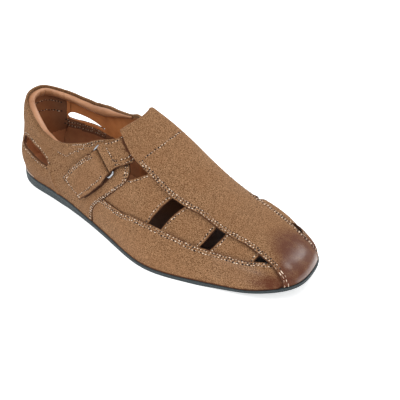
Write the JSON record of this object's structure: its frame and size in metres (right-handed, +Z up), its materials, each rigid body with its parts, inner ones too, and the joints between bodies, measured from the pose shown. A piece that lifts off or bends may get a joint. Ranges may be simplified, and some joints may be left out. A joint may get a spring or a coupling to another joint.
{
  "type": "closed-toe sandal",
  "caption": "Low closed-toe sandal with a nubuck upper, side windows, heel slots, a padded collar, and a hook-and-loop instep strap through a metal ring, on a thin ribbed rubber sole.",
  "frame": {"origin": "middle of the shoe's box on the floor, under the waist", "axes": "+X from heel to toe, +Y to the medial side, +Z up"},
  "size_m": [0.2968, 0.1054, 0.0954],
  "materials": {
    "nubuck": "brown nubuck with a short nap, burnished at the toe",
    "footbed": "smooth brown leather",
    "sole": "matt dark blue-grey rubber with a ribbed side",
    "ring": "satin nickel wire"
  },
  "bodies": {
    "root": {"upper": "nubuck", "strap": "nubuck", "closure_strap": "nubuck", "ring": "ring", "insole": "footbed", "outsole": "sole"}
  },
  "joints": []
}
